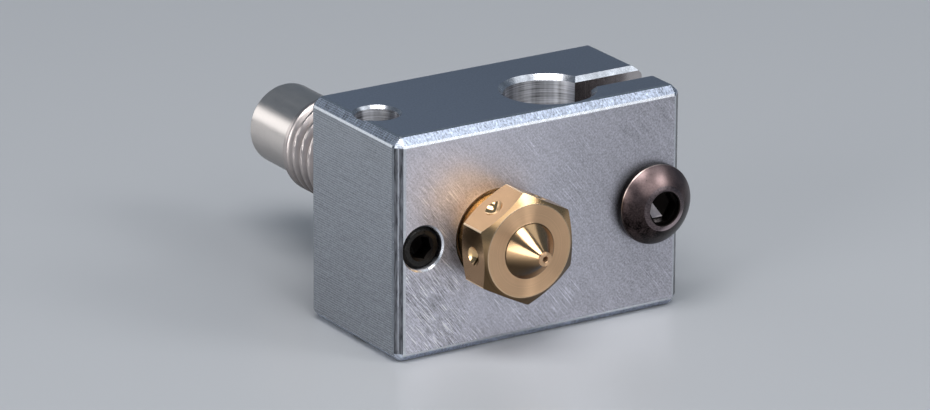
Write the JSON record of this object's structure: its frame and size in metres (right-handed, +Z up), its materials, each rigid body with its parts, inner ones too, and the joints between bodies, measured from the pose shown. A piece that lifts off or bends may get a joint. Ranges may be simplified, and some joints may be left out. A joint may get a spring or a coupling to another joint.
{
  "type": "3d printer hotend heater block assembly",
  "caption": "Slotted aluminium heater block with a clamped heater bore, a sensor bore, a brass nozzle, a threaded steel heat break and hex-socket screws.",
  "frame": {"origin": "bottom centre of the whole assembly's box, on the surface the block stands on", "axes": "+Z up, from the block's standing face; the nozzle points along -Y and the heat break along +Y; +X runs along the block from the sensor bore to the heater bore"},
  "size_m": [0.0232, 0.034, 0.016],
  "materials": {
    "milled_aluminium": "milled and brushed, satin, with bright chamfers",
    "turned_brass": "turned, satin faces and bright cone",
    "turned_steel": "turned, satin",
    "bronzed_steel": "dark bronze-brown oxide, semi-gloss",
    "blackened_steel": "black oxide, satin"
  },
  "bodies": {
    "block": {"heater_block": "milled_aluminium"},
    "nozzle": {"nozzle": "turned_brass"},
    "heat_break": {"heat_break": "turned_steel"},
    "clamp_screw": {"clamp_screw": "bronzed_steel"},
    "set_screw": {"set_screw": "blackened_steel"}
  },
  "joints": [
    {"name": "nozzle_unscrew", "type": "slide", "parent": "block", "child": "nozzle", "axis": [0, -1, 0], "range_m": [0, 0.0064]},
    {"name": "heat_break_unscrew", "type": "slide", "parent": "block", "child": "heat_break", "axis": [0, 1, 0], "range_m": [0, 0.00505]},
    {"name": "clamp_screw_unscrew", "type": "slide", "parent": "block", "child": "clamp_screw", "axis": [0, -1, 0], "range_m": [0, 0.01]},
    {"name": "set_screw_unscrew", "type": "slide", "parent": "block", "child": "set_screw", "axis": [0, -1, 0], "range_m": [0, 0.0042]}
  ]
}
